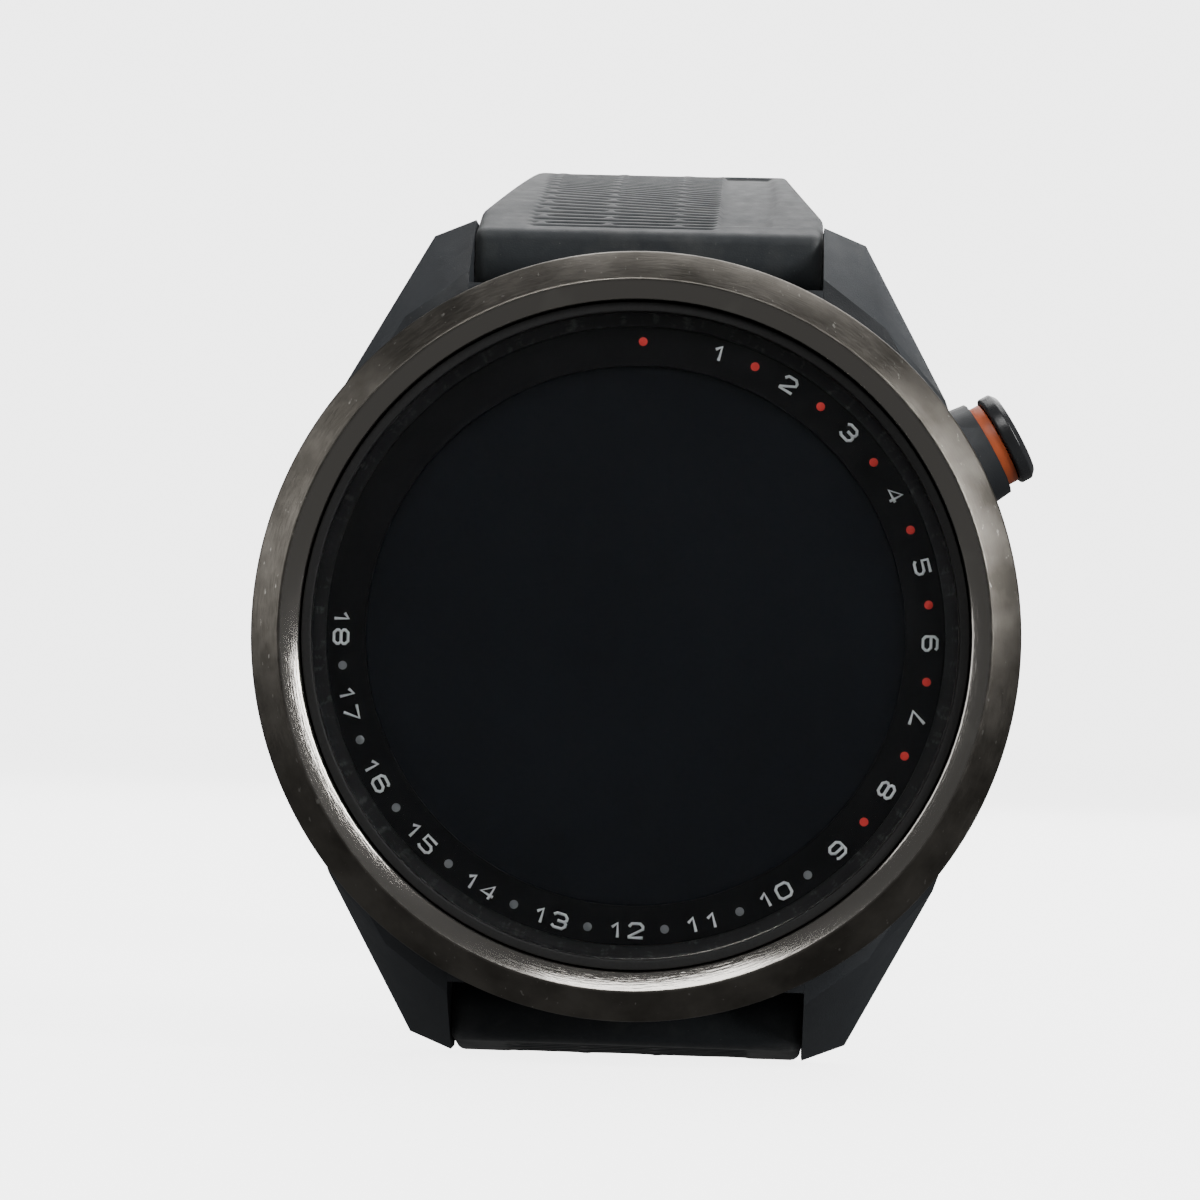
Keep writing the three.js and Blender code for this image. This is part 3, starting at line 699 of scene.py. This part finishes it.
class Strap:
    """One half of the strap. A station is its outer point, inner point and half width at a length."""

    def __init__(self, side, outline, corner, plaque=False, round_end=0.0):
        self.outline, self.plaque, self.round_end = outline, plaque, round_end
        self.total = outline(None)
        first, normal = outline(0)
        first_inner = (first[0] - normal[0] * STRAP_THICK, first[1] - normal[1] * STRAP_THICK)
        height = side * BAR_Z
        arc = [math.pi / 16 * n for n in range(1, 9)]
        front = [(BAR_Y - NOSE_RADIUS * math.sin(a), height - side * NOSE_RADIUS * math.cos(a)) for a in arc]
        rear = [(BAR_Y + NOSE_RADIUS * math.sin(a), height - side * NOSE_RADIUS * math.cos(a)) for a in arc]
        way = math.dist(first, corner)
        before = (front[-1][0], corner[1] - side * BLUNT)
        after = between(corner, first, BLUNT / way)
        whole = abs(corner[1] - height) + way
        self.nose = list(zip(front, rear))
        for t in (n / 6 for n in range(7)):
            point = between(between(before, corner, t), between(corner, after, t), t)
            share = math.dist(front[-1], point) / whole
            self.nose.append((point, between(rear[-1], first_inner, share)))
        self.lead = way - BLUNT
        self.first, self.first_inner = first, first_inner
        self.crease, self.crease_inner = self.nose[-1]

    def station(self, length):
        """The station at a length. Lengths from -lead to 0 run from the crease to the even strap."""
        if length < 0:
            share = -length / self.lead
            inner = between(self.first_inner, self.crease_inner, share)
            return between(self.first, self.crease, share), inner, STRAP_HALF
        point, normal = self.outline(length)
        thick = mix(STRAP_THICK, STRAP_THIN, taper(length))
        half = mix(STRAP_HALF, STRAP_HALF_NARROW, taper(length))
        left = self.total - length
        if left < self.round_end:
            half = max(math.sqrt(self.round_end ** 2 - (self.round_end - left) ** 2), 1 * MM)
        return point, (point[0] - normal[0] * thick, point[1] - normal[1] * thick), half

    def section(self, length):
        """A closed ring of points, slanted as the grooves are."""
        outer, inner, half = self.station(length)
        thick = math.dist(outer, inner)
        slant = GROOVE_SLOPE * step(-self.lead, SLOPE_FADE - self.lead, length)
        slant *= 1 - step(self.total - SLOPE_FADE - self.round_end, self.total - self.round_end, length)
        ring = []
        for x, depth in profile(half, thick, length, self.plaque):
            there, under, wide = self.station(min(max(length - x * slant, -self.lead), self.total))
            ring.append((x * wide / half, *between(there, under, depth / thick)))
        return ring

    def rings(self):
        """All the rings of the strap's skin, from the round end at the case to the far end."""
        made = []
        for outer, inner in self.nose[:-1]:
            thick = math.dist(outer, inner)
            flat = profile(STRAP_HALF, thick, -NOSE_LENGTH, False)
            made.append([(x, *between(outer, inner, depth / thick)) for x, depth in flat])
        first, last = math.ceil(-self.lead / ROW), math.floor(self.total / ROW - 0.5)
        lengths = [-self.lead] + [row * ROW for row in range(first, last + 1)] + [self.total]
        return made + [self.section(length) for length in lengths]


ARCH_RISE = APEX_Z - CREASE
ARCH_RUN = APEX_Y - FRAME_NOSE_FRONT
ARCH_RADIUS = (ARCH_RISE ** 2 + ARCH_RUN ** 2) / (2 * ARCH_RISE)
ARCH_START = math.asin((STRAP_START - APEX_Y) / ARCH_RADIUS)


def upper_outline(length):
    """The outer face's point and normal at a length, or the whole length when that is None."""
    arch = -ARCH_RADIUS * ARCH_START
    if length is None:
        return arch + HOOK_RADIUS * math.pi / 2
    if length < arch:
        radius, angle = ARCH_RADIUS, ARCH_START + length / ARCH_RADIUS
    else:
        radius, angle = HOOK_RADIUS, (length - arch) / HOOK_RADIUS
    normal = (math.sin(angle), math.cos(angle))
    return (APEX_Y + radius * normal[0], APEX_Z - radius + radius * normal[1]), normal


def lower_outline(length):
    """As upper_outline, for the hole half: flat on the floor and then curling up."""
    if length is None:
        return LOWER_LENGTH
    flat = FLAT_END - STRAP_START
    angle = max(length - flat, 0) / CURL_RADIUS
    y = min(STRAP_START + length, FLAT_END) + CURL_RADIUS * math.sin(angle)
    return (y, FLOOR + CURL_RADIUS * (1 - math.cos(angle))), (math.sin(angle), -math.cos(angle))


def box_mesh(low, high, place=Matrix.Identity(4)):
    """A box between two corners, put where place says."""
    mesh = bpy.data.meshes.new("box_cutter")
    work = bmesh.new()
    size = Vector(high) - Vector(low)
    middle = (Vector(high) + Vector(low)) / 2
    matrix = place @ Matrix.Translation(middle) @ Matrix.Diagonal((*size, 1))
    bmesh.ops.create_cube(work, size=1, matrix=matrix)
    work.to_mesh(mesh)
    work.free()
    return mesh


def rod_mesh(radius, length, place, sides=32):
    """A rod along Z, put where place says."""
    mesh = bpy.data.meshes.new("rod_cutter")
    work = bmesh.new()
    shape = {"segments": sides, "radius1": radius, "radius2": radius, "depth": length}
    bmesh.ops.create_cone(work, cap_ends=True, matrix=place, **shape)
    work.to_mesh(mesh)
    work.free()
    return mesh


NOTCH_SIDES = (5.4 * MM, 8.6 * MM)
NOTCH_DEPTH = 4 * MM
NOTCH_HALF = 1 * MM
WEB_SIDE = 10.1 * MM
WEB_FRONT = -8.9 * MM
WEB_BACK = -4.6 * MM
WEB_NEAR = 18.75 * MM  # how far from the watch's centre a web begins and ends
WEB_FAR = 19.88 * MM
ALONG_X = Matrix.Rotation(math.pi / 2, 4, "Y")
BORE_RADIUS = 0.85 * MM
LOOP_RADIUS = 1.55 * MM  # the round end that holds the buckle's bar
LOOP_HALF = 8.05 * MM
SLOT_HALF = 1.4 * MM  # the slot that the tongue turns in
SLOT_START = 50 * MM
SLOT_END = 62 * MM
HOLES = 10
HOLE_RADIUS = 1.1 * MM
FIRST_HOLE = 48 * MM
HOLE_PITCH = 6 * MM


def lever_notch(side):
    """The recess on the wrist side that the release lever slides in."""
    turn = Matrix.Rotation(-side * math.radians(40), 4, "X")
    place = Matrix.Translation((0, BAR_Y, side * BAR_Z)) @ turn
    return box_mesh((NOTCH_SIDES[0], 0, -NOTCH_HALF), (NOTCH_SIDES[1], NOTCH_DEPTH, NOTCH_HALF), place)


def make_lug_webs():
    """The straight walls between the lugs, which close the corners beside the round case."""
    for name, side in (("upper_lug_web", 1), ("lower_lug_web", -1)):
        low, high = sorted((side * WEB_NEAR, side * WEB_FAR))
        mesh = box_mesh((-WEB_SIDE, WEB_FRONT, low), (WEB_SIDE, WEB_BACK, high))
        add(name, mesh, "case", "case_polymer")


def make_upper_strap():
    """The buckle half: strap, round end for the buckle's bar, bores and the slot for the tongue."""
    rings = Strap(1, upper_outline, (NOSE_FRONT, CREASE), plaque=True).rings()
    mesh = swept("upper_strap_skin", rings)
    made = add("upper_strap_skin", mesh, "upper_strap", "strap_rubber", "upper_strap")
    buckle = Matrix.Translation((0, BUCKLE_Y, BUCKLE_Z))
    end = fillet(band(0, LOOP_RADIUS, -LOOP_HALF, LOOP_HALF), 0.3 * MM)
    combine(made, "UNION", [turned("strap_loop", end, 64, buckle @ Matrix.Rotation(math.pi / 2, 4, "Z"))])
    bore = rod_mesh(BORE_RADIUS, 18 * MM, buckle @ ALONG_X)
    slot = box_mesh((-SLOT_HALF, SLOT_START, 0), (SLOT_HALF, SLOT_END, BUCKLE_Z + 2.6 * MM))
    bar = rod_mesh(BORE_RADIUS, 22 * MM, Matrix.Translation((0, BAR_Y, BAR_Z)) @ ALONG_X)
    combine(made, "DIFFERENCE", [lever_notch(1), bar, bore, slot])
    soften(made.data, 50)


def make_lower_strap():
    """The hole half: strap, bore and a row of holes square to its face."""
    rings = Strap(-1, lower_outline, (NOSE_FRONT, -CREASE), round_end=STRAP_HALF_NARROW).rings()
    mesh = swept("lower_strap_skin", rings)
    made = add("lower_strap_skin", mesh, "lower_strap", "strap_rubber", "lower_strap")
    bar = rod_mesh(BORE_RADIUS, 22 * MM, Matrix.Translation((0, BAR_Y, -BAR_Z)) @ ALONG_X)
    cutters = [lever_notch(-1), bar]
    for n in range(HOLES):
        point, normal = lower_outline(FIRST_HOLE + n * HOLE_PITCH)
        turn = Vector((0, 0, 1)).rotation_difference(Vector((0, *normal))).to_matrix().to_4x4()
        cutters.append(rod_mesh(HOLE_RADIUS, 8 * MM, Matrix.Translation((0, *point)) @ turn))
    combine(made, "DIFFERENCE", cutters)
    soften(made.data, 50)


make_lug_webs()
make_upper_strap()
make_lower_strap()
refined("fixed_keeper", "upper_strap", "strap_rubber", bevel=0.45)
refined("free_keeper", "free_keeper", "strap_rubber", bevel=0.45)
refined("buckle_frame", "buckle", "gunmetal", bevel=0.4)
refined("buckle_tongue", "tongue", "gunmetal", bevel=0.2)

# ---------------------------------------------------------------- the rest of the frame's own nodes

SLOT_OF = {row["node"]: row["material_slot"] for row in frame["record"]["subparts"]}
for node, made in frame["nodes"].items():
    if not made.hide_render:
        made.data.materials.clear()
        made.data.materials.append(MATERIALS[SLOT_OF[node]])

# ---------------------------------------------------------------- stage, light and camera

STUDIO_HALF = 2.5
AIM = Vector((-1.92 * MM, 0, 1.86 * MM))  # where the camera looks, from the middle of the bezel


def make_stage():
    """A pale floor and walls. They throw no light or shadow on the watch and don't mirror in it."""
    m = Nodes("stage_white", 0.9, base=(0.85, 0.85, 0.85))
    m.set("Emission Color", (1, 1, 1, 1))
    m.set("Emission Strength", 4)
    low = (-STUDIO_HALF, -STUDIO_HALF, FLOOR - 0.02 * MM)
    mesh = box_mesh(low, (STUDIO_HALF, STUDIO_HALF, 2 * STUDIO_HALF))
    mesh.flip_normals()
    mesh.materials.append(m.material)
    studio = bpy.data.objects.new("studio", mesh)
    bpy.context.scene.collection.objects.link(studio)
    studio.visible_diffuse = False
    studio.visible_glossy = False
    studio.visible_transmission = False
    studio.visible_shadow = False


def area(name, place, target, size, power):
    """A white rectangular light at place, turned towards target."""
    light = bpy.data.lights.new(name, "AREA")
    light.shape = "RECTANGLE"
    light.size, light.size_y = size
    light.energy = power
    made = bpy.data.objects.new(name, light)
    bpy.context.scene.collection.objects.link(made)
    made.location = place
    made.rotation_mode = "QUATERNION"
    made.rotation_quaternion = (Vector(target) - Vector(place)).to_track_quat("-Z", "Y")


def make_lights():
    """Soft lights on every side, with the key light at the upper right, and a dim even world."""
    world = bpy.data.worlds.new("studio")
    world.use_nodes = True
    world.node_tree.nodes["Background"].inputs["Color"].default_value = (1, 1, 1, 1)
    world.node_tree.nodes["Background"].inputs["Strength"].default_value = 0.12
    bpy.context.scene.world = world
    area("right_window", (0.5, -0.3, 0.25), (0, 0, 0), (0.15, 0.4), 2.8)
    area("top_softbox", (0.05, 0.22, 0.58), (0, 0.01, 0.02), (0.6, 0.4), 2.6)
    area("left_fill", (-0.6, -0.15, 0.2), (0, 0, 0), (0.3, 0.5), 1)
    area("front_fill", (-0.1, -0.7, 0.6), (0, 0, 0), (0.4, 0.3), 2.4)
    area("back_fill", (0.1, 0.6, 0.35), (0, 0.03, 0), (0.5, 0.4), 1.6)


CAMERA_DISTANCE = 0.1978
CAMERA_TURN = math.radians(2.6)  # towards 3 o'clock
CAMERA_DROP = math.radians(2)  # below the watch's centre
CAMERA_ROLL = math.radians(1.7)
LENS_LENGTH = 106.2


def make_camera():
    data = bpy.data.cameras.new("camera")
    data.lens = LENS_LENGTH
    data.clip_start = 0.01
    made = bpy.data.objects.new("camera", data)
    bpy.context.scene.collection.objects.link(made)
    middle = Vector((0, -BEZEL_TOP, 0))
    back = Vector((
        math.sin(CAMERA_TURN) * math.cos(CAMERA_DROP),
        -math.cos(CAMERA_TURN) * math.cos(CAMERA_DROP),
        -math.sin(CAMERA_DROP),
    ))
    made.location = middle + AIM + back * CAMERA_DISTANCE
    made.rotation_mode = "QUATERNION"
    look = (-back).to_track_quat("-Z", "Y").to_matrix().to_4x4()
    made.rotation_quaternion = (look @ Matrix.Rotation(CAMERA_ROLL, 4, "Z")).to_quaternion()
    bpy.context.scene.camera = made


make_stage()
make_lights()
make_camera()
